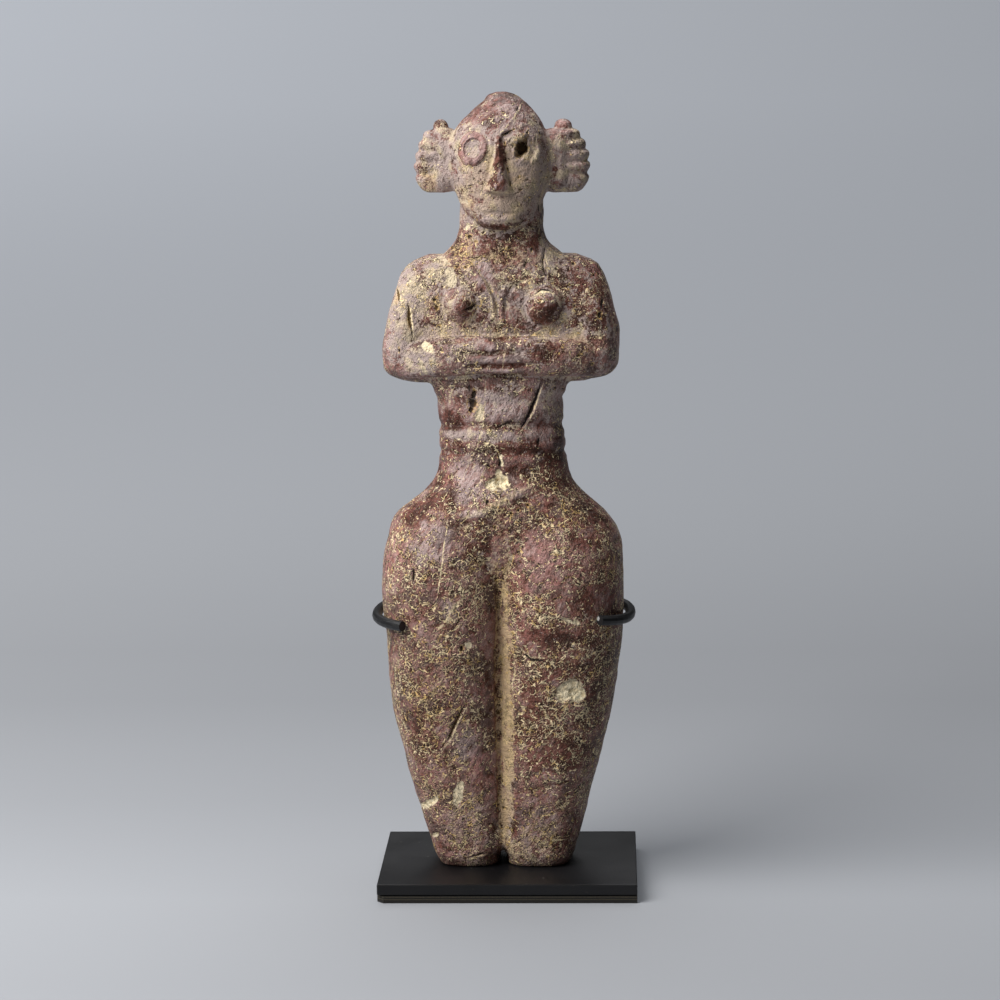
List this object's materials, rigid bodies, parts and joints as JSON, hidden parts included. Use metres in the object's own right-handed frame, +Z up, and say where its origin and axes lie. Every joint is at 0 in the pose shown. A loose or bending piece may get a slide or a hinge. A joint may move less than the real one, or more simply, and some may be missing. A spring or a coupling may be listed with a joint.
{
  "type": "stone female idol on display stand",
  "caption": "Standing nude female idol carved in mauve stone, arms folded under the breasts, fluted hair tufts and ring eyes, wide hips, held by a black rod cradle on a flat black plate",
  "frame": {"origin": "middle of the stand's underside, below the middle of the whole part's box", "axes": "+Z up, the figure faces -Y, +X to the viewer's right"},
  "size_m": [0.0819, 0.06, 0.2462],
  "materials": {
    "stone": "worn carved stone with pits and yellowish sediment",
    "rod_paint": "satin black paint on steel rod",
    "plate_paint": "satin black paint on steel plate",
    "pad": "matt dark pad"
  },
  "bodies": {
    "root": {"idol": "stone", "cradle": "rod_paint", "base_plate": "plate_paint", "base_pad": "pad"}
  },
  "joints": []
}
